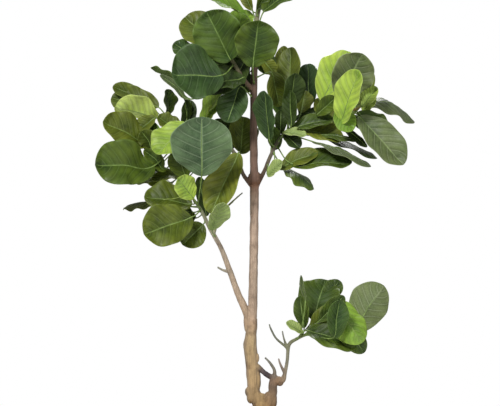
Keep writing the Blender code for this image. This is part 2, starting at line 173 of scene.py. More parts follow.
# Living leaf of Ficus lyrata: a thick waxy skin over green flesh. Each tone is the skin between the veins,
# its darker patches, its colour for painted sunlight, its colour for painted sheen, the veins, the underside,
# and its slot.
toneParts = ("skin", "deep", "sun", "haze", "vein", "back", "slot")
toneRows = {
    "dark": ("#34470f", "#182808", "#5f6f22", "#475a3b", "#5a7134", "#6a7f42", "dark"),
    "green": ("#365018", "#1d310d", "#62762b", "#506a48", "#66803f", "#758b4d", "green"),
    "blue": ("#465b3c", "#263a22", "#647851", "#667a5c", "#829674", "#74855c", "blue"),
    "olive": ("#4f5b14", "#2f3b0a", "#74792c", "#58673a", "#79883f", "#7f8c46", "olive"),
    "young": ("#5f8024", "#3d5a14", "#779238", "#67804a", "#8aa04c", "#8fa350", "young"),
    "light": ("#92a844", "#70882e", "#abb85c", "#8fa462", "#b2c076", "#a4b868", "light"),
    "bright": ("#84a036", "#5d7a24", "#9fb04e", "#7f9a56", "#a6bc6c", "#98b25e", "bright"),
    "forest": ("#2c4213", "#16280a", "#536824", "#45603c", "#5b743b", "#6a7f46", "green"),
    "shade": ("#22310d", "#111d06", "#3a4a1c", "#33432b", "#445627", "#4f6132", "dark"),
    "teal": ("#293e1c", "#15240e", "#415628", "#415539", "#566d44", "#5f7a4a", "dark"),
    "grey": ("#4b5a33", "#323e21", "#656f42", "#6f765c", "#8a9470", "#59653f", "blue"),
    "pale": ("#80934f", "#677a3c", "#97a562", "#90a06e", "#abb884", "#97a46a", "light"),
    "moss": ("#414f10", "#253108", "#646c24", "#4b5a2f", "#687833", "#76833f", "olive"),
}
leafTones = {tone: dict(zip(toneParts, row)) for tone, row in toneRows.items()}
veins = {
    "pairs": 7.0,      # side veins on each half of the blade
    "sweep": 0.27,     # how far a side vein runs towards the tip, as a share of the blade
    "power": 1.15,     # above 1 the vein curves up as it nears the edge
    "stagger": 0.4,    # the right side's veins leave the midrib later
    "netCells": 230,   # cells for each metre: a net of small veins about 4 mm apart
    "middlePale": 0.46,  # how far the midrib takes the veins' colour
}
leafSkins = {  # wax shines on top; the underside is matt with prouder veins
    "top": {"name": "waxyLeafTop", "rough": 0.46, "shine": 0.2, "net": 0.1, "side": 0.36, "relief": 0.35},
    "underside": {"name": "mattLeafUnderside", "rough": 0.66, "shine": 0.15, "net": 0.25, "side": 0.6,
                  "relief": 0.6},
}


def ownSpot(tree):  # the piece's own coordinates
    return addNode(tree, "TexCoord").outputs["Object"]


def remap(tree, value, low, high, start, end, **settings):  # turns low to high into start to end
    return addNode(tree, "MapRange", {0: value, 1: low, 2: high, 3: start, 4: end}, **settings).outputs[0]


def reckon(tree, operation, *values):
    return addNode(tree, "Math", dict(enumerate(values)), operation=operation).outputs[0]


def over(tree, share, under, paint, **settings):  # one paint over another, by a share
    inputs = {0: share, 6: under, 7: colour(paint)}
    return addNode(tree, "Mix", inputs, data_type="RGBA", **settings).outputs[2]


def clouds(tree, spot, scale, *more):  # noise; what follows the scale is its detail and roughness
    inputs = {"Vector": spot, "Scale": scale, **dict(zip(("Detail", "Roughness"), more))}
    return addNode(tree, "TexNoise", inputs).outputs[0]


def twoTone(tree, value, dark, light, low, high):
    stops = [(low, colour(dark)), (high, colour(light))]
    return addNode(tree, "ValToRGB", {0: value}, stops=stops).outputs[0]


def paintOn(tree, shader, paint):
    tree.links.new(paint, shader.inputs["Base Color"])


def roughen(tree, shader, rough):
    tree.links.new(rough, shader.inputs["Roughness"])


def carve(tree, shader, height, strength, distance, **settings):  # distance is the relief in metres
    bump = addNode(tree, "Bump", {"Height": height, "Strength": strength, "Distance": distance}, **settings)
    tree.links.new(bump.outputs[0], shader.inputs["Normal"])


def veinNodes(tree):  # midrib, side veins and small net as 0 to 1 masks, from the blade's own UV map
    place = addNode(tree, "SeparateXYZ", {0: addNode(tree, "UVMap", uv_map="bladeShare").outputs[0]})
    u, v = place.outputs[0], place.outputs[1]
    across = reckon(tree, "ABSOLUTE", reckon(tree, "MULTIPLY_ADD", u, 2.0, -1.0))
    back = reckon(tree, "MULTIPLY_ADD", reckon(tree, "POWER", across, veins["power"]), -veins["sweep"], v)
    later = reckon(tree, "MULTIPLY", reckon(tree, "GREATER_THAN", u, 0.5), veins["stagger"])
    away = reckon(tree, "PINGPONG", reckon(tree, "MULTIPLY_ADD", back, veins["pairs"], later), 0.5)
    side = remap(tree, away, 0.015, 0.1, 1.0, 0.0, interpolation_type="SMOOTHSTEP")
    side = reckon(tree, "MULTIPLY", side, remap(tree, across, 0.6, 0.97, 1.0, 0.15))
    middle = remap(tree, across, 0.02, 0.06, 1.0, 0.0, interpolation_type="SMOOTHSTEP")
    spot = ownSpot(tree)
    cells = addNode(tree, "TexVoronoi", {"Vector": spot, "Scale": veins["netCells"]},
                    feature="DISTANCE_TO_EDGE").outputs[0]
    net = remap(tree, cells, 0.02, 0.16, 1.0, 0.0)
    # painted shade and light: darker in the furrows beside the side veins, lighter on the swells between them
    quiltShading = remap(tree, away, 0.04, 0.4, 0.8, 1.12)
    return middle, side, net, across, quiltShading, spot


def leafFinish(tone, upper):
    look, face = leafTones[tone], leafSkins["top" if upper else "underside"]
    name = face["name"] + tone.capitalize()
    material, tree, shader = newMaterial(name, IOR=1.45, Specular_IOR_Level=face["shine"])
    if upper:  # a thin cuticle of wax
        shader.inputs["Coat Weight"].default_value = 0.03
        shader.inputs["Coat Roughness"].default_value = 0.3
    middle, side, net, across, quiltShading, spot = veinNodes(tree)
    skin = look["skin"] if upper else look["back"]
    deep = look["deep"] if upper else look["skin"]
    ground = twoTone(tree, clouds(tree, spot, 28.0, 3.0, 0.6), deep, skin, 0.34, 0.64)
    broad = clouds(tree, spot, 11.0, 2.0, 0.5)
    # painted light and painted sheen: the sunlit colour and the painted-sheen colour in broad noise patches,
    # then the sunlit colour towards the margins
    ground = over(tree, remap(tree, broad, 0.5, 0.68, 0.0, 0.4), ground, look["sun"])
    ground = over(tree, remap(tree, broad, 0.48, 0.32, 0.0, 0.3), ground, look["haze"])
    ground = over(tree, remap(tree, across, 0.25, 1.0, 0.0, 0.4), ground, look["sun"])
    tint = addNode(tree, "Attribute", attribute_name="leafTint").outputs["Fac"]
    # per-leaf random tint times the painted furrow shade and swell light
    tintAndQuiltShading = reckon(tree, "MULTIPLY", remap(tree, tint, -1.0, 1.0, 0.8, 1.22), quiltShading)
    hue = remap(tree, tint, -1.0, 1.0, 0.508, 0.492)
    paint = addNode(tree, "HueSaturation", {"Color": ground, "Hue": hue, "Value": tintAndQuiltShading}).outputs[0]
    netShare = reckon(tree, "MULTIPLY", net, face["net"])
    sideShare = reckon(tree, "MULTIPLY", side, face["side"])
    middle = reckon(tree, "MULTIPLY", middle, veins["middlePale"])
    rim = remap(tree, across, 0.955, 1.0, 0.0, 0.5)
    for share in (netShare, sideShare, middle, rim):
        paint = over(tree, share, paint, look["vein"])
    paintOn(tree, shader, paint)
    uneven = clouds(tree, spot, 90.0, 2.0)
    roughen(tree, shader, remap(tree, uneven, 0.3, 0.7, face["rough"] - 0.07, face["rough"] + 0.1))
    relief = reckon(tree, "MULTIPLY_ADD", net, 0.3, reckon(tree, "MAXIMUM", side, middle))
    carve(tree, shader, relief, face["relief"], 0.0008, invert=upper)
    return material


def stalkFinish():  # green bark-less leaf stalk and midrib: smooth, faintly waxy, paler than the blade
    material, tree, shader = newMaterial("leafStalk", Roughness=0.5, IOR=1.45)
    spot = ownSpot(tree)
    paintOn(tree, shader, twoTone(tree, clouds(tree, spot, 70.0, 3.0), "#4f6428", "#748a46", 0.35, 0.65))
    carve(tree, shader, clouds(tree, spot, 900.0, 2.0), 0.2, 0.0003)
    return material


def barkFinish():  # thin corky bark over living wood: dry, upright grain, darker warts about 3 mm across
    material, tree, shader = newMaterial("figBark", IOR=1.4, Specular_IOR_Level=0.25)
    spot = ownSpot(tree)
    base = addNode(tree, "Attribute", attribute_name="barkColour").outputs["Color"]
    upright = addNode(tree, "Mapping", {"Vector": spot, "Scale": (1.0, 1.0, 0.16)}).outputs[0]
    grain = clouds(tree, upright, 260.0, 5.0, 0.65)
    broad = clouds(tree, upright, 55.0, 4.0, 0.6)
    warts = addNode(tree, "TexVoronoi", {"Vector": spot, "Scale": 330.0}).outputs[0]
    wart = remap(tree, warts, 0.08, 0.3, 0.45, 0.0)
    grainShade, broadShade = remap(tree, grain, 0.3, 0.7, 0.72, 1.2), remap(tree, broad, 0.3, 0.7, 0.78, 1.16)
    shade = reckon(tree, "MULTIPLY", grainShade, broadShade)
    paint = addNode(tree, "HueSaturation", {"Color": base, "Value": shade}).outputs[0]
    greyShare = remap(tree, clouds(tree, spot, 34.0, 4.0), 0.52, 0.7, 0.0, 0.5)
    paint = over(tree, greyShare, paint, "#8c7f76", blend_type="MULTIPLY")
    paintOn(tree, shader, over(tree, wart, paint, "#4a3a2e"))
    roughen(tree, shader, remap(tree, grain, 0.3, 0.7, 0.7, 0.92))
    height = reckon(tree, "MULTIPLY_ADD", wart, -0.8, reckon(tree, "ADD", grain, broad))
    carve(tree, shader, height, 0.7, 0.0012)
    return material


def terracottaFinish():  # thrown, unglazed fired clay: matt, fine sand, faint turning lines, pale lime bloom
    material, tree, shader = newMaterial("terracotta", IOR=1.5, Specular_IOR_Level=0.25)
    spot = ownSpot(tree)
    body = twoTone(tree, clouds(tree, spot, 14.0, 5.0, 0.6), "#9a5636", "#bd7750", 0.32, 0.68)
    sand = clouds(tree, spot, 750.0, 3.0, 0.7)
    speck = remap(tree, sand, 0.35, 0.65, 0.86, 1.1)
    body = addNode(tree, "HueSaturation", {"Color": body, "Value": speck}).outputs[0]
    up = addNode(tree, "SeparateXYZ", {0: spot}).outputs[2]
    foot, rim = remap(tree, up, 0.0, 0.07, 0.55, 0.0), remap(tree, up, 0.15, 0.2, 0.0, 0.5)
    bloom = remap(tree, clouds(tree, spot, 30.0, 8.0, 0.72), 0.45, 0.68, 0.0, 1.0)
    bloom = reckon(tree, "MULTIPLY", bloom, reckon(tree, "ADD", foot, rim))
    paintOn(tree, shader, over(tree, bloom, body, "#d9c2ac"))
    roughen(tree, shader, remap(tree, sand, 0.3, 0.7, 0.78, 0.95))
    lines = {"Vector": spot, "Scale": 90.0, "Distortion": 1.5, "Detail": 2.0, "Detail Scale": 0.4}
    turning = addNode(tree, "TexWave", lines, wave_type="BANDS", bands_direction="Z").outputs[1]
    carve(tree, shader, reckon(tree, "MULTIPLY_ADD", turning, 0.35, sand), 0.35, 0.0006)
    return material


def crumbFinish(name, dark, light, grit):  # peat, bark and perlite: dry, open and rough
    material, tree, shader = newMaterial(name, Roughness=0.95, IOR=1.4, Specular_IOR_Level=0.15)
    crumbs = clouds(tree, ownSpot(tree), grit, 6.0, 0.7)
    paintOn(tree, shader, twoTone(tree, crumbs, dark, light, 0.35, 0.65))
    carve(tree, shader, crumbs, 0.8, 0.0015)
    return material


leafTops = {tone: leafFinish(tone, True) for tone in leafTones}
leafBacks = {tone: leafFinish(tone, False) for tone in leafTones}
leafStalk = stalkFinish()
figBark = barkFinish()
terracotta = terracottaFinish()
peat = crumbFinish("pottingMix", "#1e140d", "#4a3626", 420.0)
barkChip = crumbFinish("barkChip", "#3a2517", "#7a5a3c", 300.0)
perlite = crumbFinish("perlite", "#b9b3a8", "#eae6de", 500.0)
budScale = crumbFinish("budScale", "#5b4228", "#8d7a45", 350.0)
print("finishes mixed:", len(bpy.data.materials))


# Each stem is its route of (x, y, z, radius) and its bark's colours from foot to tip.
stems = {
    "trunk": {
        "route": [(0, 0, -85, 20), (0, 0, -5, 25), (2, 0, 25, 27), (2, 0, 50, 25), (-10, 0, 74, 19),
                  (-21, 0, 96, 16), (-25, 0, 128, 16), (-27, 0, 167, 17), (-30, 0, 194, 17),
                  (-33, 0, 222, 18), (-31, 0, 247, 16), (-28, 0, 277, 14.5), (-27, 0, 300, 14)],
        "colours": [(0.0, "#83694a"), (0.3, "#957c58"), (0.6, "#a08865"), (0.8, "#9d8865"),
                    (1.0, "#9f8872")]},
    "main_stem": {
        "route": [(-27, 0, 298, 12.5), (-25, 0, 351, 12), (-22, 0, 516, 11.5), (-21, 0, 640, 11.5),
                  (-21, 0, 670, 14), (-22, 0, 700, 11), (-23, 0, 846, 9.5), (-22, 0, 942, 9),
                  (-19, 2, 1039, 7.5),
                  (-15, 2, 1108, 6), (-8, 2, 1180, 5), (-7, 2, 1230, 3.5)],
        "colours": [(0.0, "#9f8873"), (0.12, "#a38f7c"), (0.26, "#a08a79"), (0.33, "#8a6a57"),
                    (0.37, "#634431"),
                    (0.42, "#70584c"), (0.6, "#645247"), (0.75, "#605146"), (0.84, "#7c7a60"),
                    (1.0, "#7f8f5c")]},
    "left_branch": {
        "route": [(-28, 0, 276, 10), (-39, -1, 308, 10.5), (-54, -8, 343, 9.5), (-68, -16, 375, 8.5),
                  (-96, -30, 454, 7), (-112, -38, 495, 6), (-128, -46, 525, 6), (-144, -54, 553, 5),
                  (-158, -60, 583, 4.5), (-171, -62, 607, 4), (-185, -60, 626, 3.5)],
        "colours": [(0.0, "#a58c72"), (0.3, "#a8947f"), (0.55, "#a39684"), (0.8, "#8b8c72"),
                    (1.0, "#7e8a5c")]},
    "crown_twig": {
        "route": [(-22, 0, 925, 6), (-47, -20, 952, 5.5), (-66, -36, 981, 5), (-85, -48, 1012, 4.5),
                  (-96, -52, 1045, 4), (-98, -50, 1072, 3)],
        "colours": [(0.0, "#6a4f45"), (0.3, "#746a56"), (1.0, "#7f8f5c")]},
    "left_twig": {
        "route": [(-20, 0, 655, 6.5), (-49, -4, 692, 5), (-63, -2, 725, 4.8), (-80, 6, 761, 4.8),
                  (-110, 20, 789, 5), (-155, 38, 809, 4.5), (-200, 54, 821, 4), (-239, 66, 827, 3.5),
                  (-268, 74, 839, 3)],
        "colours": [(0.0, "#6a4a3a"), (0.1, "#594a3e"), (0.3, "#6b6655"), (1.0, "#7c8a5c")]},
    "right_twig": {
        "route": [(-20, 0, 655, 6.5), (5, -6, 703, 5), (22, -10, 744, 4.8), (38, -6, 777, 4.8),
                  (61, 6, 808, 5), (94, 14, 830, 4.5), (138, 10, 844, 4.5), (187, -6, 849, 4),
                  (224, -24, 859, 3.5), (250, -40, 871, 3)],
        "colours": [(0.0, "#6a4a3a"), (0.1, "#594a3e"), (0.3, "#6b6655"), (1.0, "#7c8a5c")]},
    "right_shoot": {
        "route": [(30, -6, 128, 8), (48, -9, 130, 9), (57, -10, 134, 8), (62, -10, 148, 5), (69, -8, 184, 4),
                  (72, -6, 220, 4.5), (78, -4, 234, 4.5), (93, -2, 243, 4), (116, 0, 254, 3.5),
                  (145, 0, 262, 3.5), (175, -4, 272, 3)],
        "colours": [(0.0, "#85664b"), (0.2, "#8f7c66"), (0.4, "#777464"), (0.6, "#6f6f58"),
                    (1.0, "#76864f")]},
}
spurs = [  # stumps, stubs and bare dead twigs
    {"route": [(2, 0, 30, 20), (14, -2, 60, 20), (22, -3, 84, 17), (29, -4, 98, 12), (30, -5, 120, 11.5),
               (33, -6, 146, 9)],
     "colours": [(0.0, "#8e7048"), (0.5, "#846e56"), (0.75, "#6c5a4b"), (1.0, "#8a7a6c")]},
    {"route": [(-20, 0, 172, 8), (-8, -4, 165, 7), (4, -8, 154, 6.5), (18, -9, 144, 7), (32, -6, 138, 7.5)],
     "colours": [(0.0, "#9a8563"), (0.4, "#524848"), (0.75, "#433c3e"), (1.0, "#6a5444")]},
    {"route": [(33, -6, 138, 5), (34, -14, 159, 4), (22, -20, 180, 3), (8, -22, 195, 2)],
     "colours": [(0.0, "#7d7364"), (1.0, "#74756c")]},
    {"route": [(-88, -26, 430, 4), (-105, -34, 434, 3), (-122, -38, 443, 2)],
     "colours": [(0.0, "#8f8272"), (1.0, "#7f7f70")]},
    {"route": [(-133, -50, 532, 4), (-112, -62, 588, 2.5), (-80, -66, 622, 2), (-53, -66, 646, 1.2)],
     "colours": [(0.0, "#7f7f62"), (0.5, "#8b9560"), (1.0, "#6d6c60")]},
    {"route": [(72, -6, 218, 4), (60, -10, 228, 3), (38, -18, 248, 2.5), (23, -24, 276, 2),
               (20, -25, 287, 1.2)],
     "colours": [(0.0, "#6f6f58"), (1.0, "#6c7165")]},
    {"route": [(68, -6, 222, 3), (60, -2, 246, 2), (56, 4, 266, 1.2)],
     "colours": [(0.0, "#6f6f58"), (1.0, "#85857a")]},
    {"route": [(62, -10, 152, 3.5), (54, -20, 168, 3), (48, -24, 182, 2.5), (45, -25, 193, 1.5)],
     "colours": [(0.0, "#857665"), (1.0, "#8a8078")]},
]
knots = [  # swellings where branches were cut: centre, radii, bark colour
    ((-37, -2, 232), (11, 9, 17), "#8c7468"), ((-15, -3, 191), (8, 8, 13), "#8a7868"),
    ((-26, -4, 112), (13, 11, 15), "#7c6a55"), ((-27, -6, 282), (13, 10, 15), "#a07c5c"),
    ((-40, 0, 290), (11, 10, 30), "#a0876c"), ((46, -8, 134), (10, 8, 9), "#7d5f4a"),
    ((-21, -2, 668), (15, 14, 6), "#6a4632"), ((0, -3, 82), (11, 13, 14), "#8d7850"),
    ((14, -3, 82), (12, 13, 14), "#7d6a4c"), ((29, -4, 112), (12, 11, 28), "#6e5c4c"),
    ((30, -5, 76), (12, 12, 24), "#846e56"), ((-36, -3, 99), (11, 9, 15), "#6f6354"),
    ((-32, -2, 92), (11, 10, 26), "#7c6c54"), ((2, -14, 62), (13, 9, 16), "#a5854f"),
    ((-20, 12, 150), (9, 8, 16), "#8a7456"), ((-6, 16, 40), (16, 12, 18), "#86683f"),
    ((-9, -3, 686), (6, 7, 17), "#54392c"), ((-33, -1, 683), (6, 7, 16), "#54392c"),
    ((-12, -2, 128), (9, 9, 34), "#957c58"), ((49, -8, 124), (10, 8, 9), "#7d6a58"),
    ((-26, 6, 452), (8, 8, 6), "#957c6c"), ((-26, -7, 585), (6, 6, 5), "#917865"),
]
woodMake = {
    "step": 0.004,    # metres between the stations of a stem
    "voxel": 0.00165,  # the fusing grid
    "softening": (0.5, 5),  # smoothing of the fused forks: strength and rounds
    "young": (0.0125, 0.006),  # radii between which old bark gives way to young
    "scarGap": 0.026,   # leaf scars ring young wood about every 26 mm
    "scarWidth": 0.0022,
    "scarRise": 0.07,
    "scarDark": 0.35,
    "collar": 0.22,  # extra girth where a twig starts, gone after 20 mm
    "plump": 0.0006,  # added all round, because fusing and softening take it off
    "grain": 0.0011,  # depth of the knobbly relief on the old foot
    "flankShadeShare": 0.55,  # how far the old wood's left and right flanks are painted darker grey as painted shade
    "flankShadePaint": "#6f6660",
    "blend": 0.004,  # reach of one station's bark colour
}


def stemStations(stem):  # closely set (centre, radius, colour) along one stem, swollen at its leaf scars
    route, stops = stem["route"], stem["colours"]
    points = [grown(p) for p in route]
    length = sum((b - a).length for a, b in zip(points, points[1:]))
    count = max(6, round(length / woodMake["step"]))
    found = []
    for i in range(count + 1):
        share = i / count
        centre, radius = alongRoute(route, share * (len(route) - 1))
        run = share * length
        fromScar = (run % woodMake["scarGap"]) - woodMake["scarGap"] / 2
        scar = math.exp(-(fromScar / woodMake["scarWidth"]) ** 2)
        young = smooth(*woodMake["young"], radius) if radius < woodMake["young"][0] else 0.0
        collar = 1 + woodMake["collar"] * smooth(0.02, 0.0, run) if radius < 0.011 else 1.0
        radius = radius * collar * (1 + woodMake["scarRise"] * scar * young) + woodMake["plump"]
        upper = next((k for k, stop in enumerate(stops) if stop[0] >= share), len(stops) - 1)
        low, high = stops[max(upper - 1, 0)], stops[upper]
        blend = (share - low[0]) / (high[0] - low[0]) if high[0] > low[0] else 0.0
        paint = Vector(colour(low[1])[:3]).lerp(Vector(colour(high[1])[:3]), min(max(blend, 0), 1))
        found.append((centre, radius, paint * (1 - woodMake["scarDark"] * scar * young)))
    return found


def knotPiece(centre, radii):
    deselect()
    bpy.ops.mesh.primitive_ico_sphere_add(subdivisions=3, radius=1, location=(0, 0, 0))
    knot = bpy.context.object
    size = Matrix.Diagonal((*[r * plant["mm"] for r in radii], 1.0))
    knot.data.transform(Matrix.Translation(grown(centre)) @ size)
    return knot


def buildWood():
    stations = {name: stemStations(stem) for name, stem in stems.items()}
    stations.update({f"spur{i}": stemStations(spur) for i, spur in enumerate(spurs)})
    tubes = [addTube(name, [(c, r) for c, r, _ in row], 4) for name, row in stations.items()]
    tubes += [knotPiece(centre, radii) for centre, radii, _ in knots]
    wood = joined(tubes, "figWood")
    wood.data.remesh_voxel_size = woodMake["voxel"]
    only(wood)
    bpy.ops.object.voxel_remesh()
    smoother = wood.modifiers.new("soften forks", "SMOOTH")
    smoother.factor, smoother.iterations = woodMake["softening"]
    applyAll(wood)
    spots = [spot for row in stations.values() for spot in row]
    spots += [(grown(c), sum(r) / 3 * plant["mm"], Vector(colour(paint)[:3])) for c, r, paint in knots]
    finder = KDTree(len(spots))
    for i, spot in enumerate(spots):
        finder.insert(spot[0], i)
    finder.balance()
    mesh = wood.data
    paints = mesh.attributes.new("barkColour", "FLOAT_COLOR", "POINT")
    flankShadePaint = Vector(colour(woodMake["flankShadePaint"])[:3])
    moves = []
    for vertex in mesh.vertices:
        total, share, stout = Vector((0, 0, 0)), 0.0, 0.0
        for _, i, distance in finder.find_n(vertex.co, 12):
            _, radius, paint = spots[i]
            weight = math.exp(-((distance - radius) / woodMake["blend"]) ** 2) + 0.0001
            total += paint * weight
            share += weight
            stout += radius * weight
        stout = smooth(0.006, 0.018, stout / share)
        # painted shade: where the old wood faces left or right, its bark turns darker grey
        flankShadeMix = woodMake["flankShadeShare"] * stout * smooth(0.5, 0.95, abs(vertex.normal.x))
        paints.data[vertex.index].color = (*(total / share).lerp(flankShadePaint, flankShadeMix), 1.0)
        co = vertex.co
        knobs = noise.noise(Vector((co.x * 85, co.y * 85, co.z * 38)))
        ridges = noise.noise(Vector((co.x * 230, co.y * 230, co.z * 45)) + Vector((7, 3, 1)))
        depth = woodMake["grain"] * (0.25 + 1.5 * stout)
        moves.append(vertex.normal * depth * (0.9 * knobs + 0.55 * ridges))
    for vertex, move in zip(mesh.vertices, moves):
        vertex.co += move
    shadeSmooth(wood)
    dress(wood, figBark)
    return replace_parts(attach(wood, "root"), *stems)


wood = buildWood()
print("wood fused:", len(wood.data.polygons), "faces")


# Each leaf, by the node its name comes from: its stem, place along the stem in route points, where the
# blade starts, its tip, its width, the way its top faces, how far it arches, how far its edges rise
# above its midrib, and its tone.
leafGroups = {
    "top_leaf": [
        ("main_stem", 8.6, (-45, -30, 1132), (-178, -100, 1184), 98, (0.2, -0.6, 0.8), 10, 4, "bright"),
        ("main_stem", 8.4, (4, -28, 1140), (112, 30, 1226), 92, (-0.3, -0.7, 0.6), 8, 4, "dark"),
        ("main_stem", 9.8, (-12, 22, 1225), (-35, -30, 1320), 120, (0.1, -0.9, 0.4), 6, 6, "young"),
        ("main_stem", 9.0, (-45, 30, 1215), (-110, 110, 1310), 95, (-0.5, 0.3, 0.8), 8, 4, "dark"),
        ("main_stem", 9.2, (15, 46, 1208), (85, 110, 1300), 100, (0.4, 0.4, 0.8), 8, 4, "dark"),
    ],
    "upper_left_leaf": [
        ("crown_twig", 4.0, (-112, 4, 1038), (-214, 60, 1136), 105, (-0.3, -0.7, 0.6), 8, 4, "olive"),
        ("crown_twig", 4.7, (-85, -75, 1005), (-150, -125, 1130), 130, (-0.2, -0.9, 0.3), 8, 6, "green"),
        ("crown_twig", 2.5, (-108, -100, 962), (-240, -170, 958), 155, (-0.3, -0.9, 0.2), 8, 8, "green"),
        ("main_stem", 7.0, (-25, -80, 985), (-10, -135, 1105), 120, (0.1, -0.9, 0.2), 6, 6, "dark"),
        ("crown_twig", 4.6, (-70, 2, 1050), (-57, 60, 1155), 90, (-0.2, -0.8, 0.5), 6, 4, "young"),
        ("crown_twig", 1.4, (-50, -45, 960), (-145, -105, 940), 95, (-0.2, -0.8, 0.5), 4, 4, "dark"),
        ("main_stem", 6.6, (-60, -40, 935), (-95, -90, 835), 85, (-0.2, -0.9, 0.1), 4, 4, "dark"),
        ("crown_twig", 2.0, (-200, 30, 935), (-310, 90, 995), 70, (0.3, 0.1, 0.9), 6, 2, "dark"),
        ("left_twig", 5.4, (-170, 20, 840), (-110, -20, 925), 70, (-0.7, -0.5, 0.4), 4, 4, "bright"),
    ],
    "left_leaf": [
        ("left_twig", 7.5, (-290, 100, 887), (-425, 125, 915), 88, (0.1, -0.9, 0.4), 6, 4, "olive"),
        ("left_twig", 7.2, (-290, 60, 855), (-405, 20, 885), 100, (-0.1, 0.6, 0.8), 8, 4, "light"),
        ("left_twig", 6.6, (-310, 30, 785), (-435, -30, 840), 100, (-0.2, -0.8, 0.5), 8, 4, "olive"),
        ("left_twig", 6.2, (-295, -25, 720), (-450, -95, 720), 135, (-0.1, -0.9, 0.3), 10, 6, "dark"),
        ("left_twig", 5.6, (-205, -20, 836), (-286, -75, 750), 100, (-0.3, -0.8, 0.4), 4, 4, "bright"),
        ("left_twig", 8.0, (-260, 70, 865), (-265, 60, 935), 65, (0.8, -0.5, 0.1), 4, 4, "dark"),
        ("left_branch", 9.3, (-162, -135, 690), (-160, -195, 845), 165, (0, -1, 0.2), 8, 8, "blue"),
        ("left_twig", 3.0, (-60, 50, 755), (-50, 100, 860), 85, (0.3, -0.8, 0.4), 4, 4, "dark"),
        ("left_twig", 2.6, (-65, -45, 753), (-140, -90, 590), 92, (-0.3, -0.9, 0.1), 8, 6, "olive"),
        ("left_branch", 8.6, (-185, -95, 630), (-225, -140, 685), 65, (-0.2, -0.8, 0.5), 4, 4, "bright"),
        ("left_twig", 5.0, (-245, 80, 680), (-370, 110, 695), 85, (0, -0.3, 0.9), 6, -4, "olive"),
    ],
    "lower_left_leaf": [
        ("left_branch", 9.0, (-275, 10, 612), (-385, 75, 605), 75, (0, -0.2, 1), 8, -4, "olive"),
        ("left_branch", 9.9, (-190, -45, 615), (-320, -60, 635), 100, (0.1, -0.75, 0.6), 8, 4, "olive"),
        ("left_branch", 8.6, (-190, -95, 580), (-315, -150, 535), 120, (-0.1, -0.9, 0.2), 8, 6, "olive"),
        ("left_branch", 7.6, (-160, -60, 560), (-215, -85, 505), 75, (0.2, -0.9, 0.3), 4, 4, "olive"),
        ("left_branch", 6.0, (-135, -90, 545), (-105, -150, 620), 60, (0.4, -0.8, 0.4), 4, 4, "light"),
    ],
    "right_leaf": [
        ("right_twig", 1.6, (15, -30, 695), (55, -60, 730), 40, (-0.4, -0.8, 0.4), 2, 2, "bright"),
        ("right_twig", 2.4, (60, -20, 715), (140, -50, 655), 75, (0.4, -0.4, 0.8), 6, -2, "dark"),
        ("right_twig", 3.0, (80, -50, 725), (240, -110, 725), 100, (0, -0.6, 0.8), 10, 4, "dark"),
        ("right_twig", 4.1, (135, -65, 785), (290, -125, 715), 70, (0.3, -0.25, 0.95), 8, -2, "blue"),
        ("right_twig", 5.6, (165, 5, 800), (315, -25, 740), 70, (0.3, -0.25, 0.95), 8, -2, "dark"),
        ("right_twig", 2.8, (20, -50, 790), (5, -95, 920), 70, (-0.6, -0.8, 0.1), 4, 4, "dark"),
        ("right_twig", 4.6, (80, 50, 890), (80, 100, 1055), 85, (-0.6, -0.8, 0.1), 6, 4, "olive"),
        ("right_twig", 4.3, (75, -20, 875), (90, -60, 970), 65, (0.4, -0.9, 0.2), 4, 4, "blue"),
        ("main_stem", 7.2, (25, -20, 975), (50, 20, 885), 65, (0.3, -0.9, 0.3), 4, 4, "olive"),
        ("right_twig", 5.2, (130, 60, 885), (130, 120, 1010), 75, (-0.4, -0.9, 0.2), 4, 4, "blue"),
        ("right_twig", 6.0, (165, 30, 900), (240, 100, 1045), 100, (-0.2, -0.9, 0.4), 6, 4, "bright"),
        ("right_twig", 7.2, (210, -45, 905), (270, -95, 1020), 115, (0.3, -0.9, 0.3), 6, 8, "green"),
        ("right_twig", 7.6, (210, -95, 835), (255, -165, 970), 85, (-0.5, -0.8, 0.2), 6, 6, "bright"),
        ("right_twig", 9.0, (270, 0, 890), (425, 60, 845), 90, (0.1, -0.5, 0.9), 28, -4, "dark"),
        ("right_twig", 8.4, (260, -50, 865), (335, -95, 800), 75, (0.1, -0.7, 0.7), 4, 4, "dark"),
        ("right_twig", 7.8, (260, -95, 850), (375, -150, 720), 95, (-0.1, -0.7, 0.6), 10, 4, "dark"),
        ("right_twig", 4.9, (105, -17, 822), (222, -36, 792), 75, (0, -0.7, 0.7), 6, 4, "olive"),
    ],
    "low_right_leaf": [
        ("right_shoot", 7.4, (140, 40, 293), (178, 90, 403), 120, (-0.1, -0.8, 0.6), 6, 6, "dark"),
        ("right_shoot", 8.6, (246, 5, 270), (340, 60, 388), 115, (0.3, 0.8, 0.5), 6, 6, "blue"),
        ("right_shoot", 9.3, (198, -40, 345), (266, -95, 240), 90, (-0.1, -0.8, 0.5), 8, -8, "young"),
        ("right_shoot", 7.0, (122, -35, 270), (262, -55, 232), 95, (0, -0.75, 0.65), 8, 4, "dark"),
    ],
}
leaves = [(f"{group}_{i + 1}", *row) for group, rows in leafGroups.items() for i, row in enumerate(rows)]
otherLooks = {  # leaves that differ from the rest of their tone: older, greyer, or painted darker as shade deep in the crown
    "top_leaf_1": "young", "upper_left_leaf_2": "forest", "upper_left_leaf_3": "teal",
    "upper_left_leaf_6": "shade", "upper_left_leaf_7": "teal", "left_leaf_8": "olive", "right_leaf_6": "teal",
    "right_leaf_8": "shade", "right_leaf_10": "teal", "right_leaf_12": "grey", "right_leaf_14": "grey",
    "right_leaf_4": "grey", "right_leaf_1": "pale", "right_leaf_5": "shade", "low_right_leaf_2": "grey",
    "right_leaf_16": "grey", "lower_left_leaf_2": "moss", "lower_left_leaf_3": "moss",
    "lower_left_leaf_4": "moss", "lower_left_leaf_5": "pale",
}
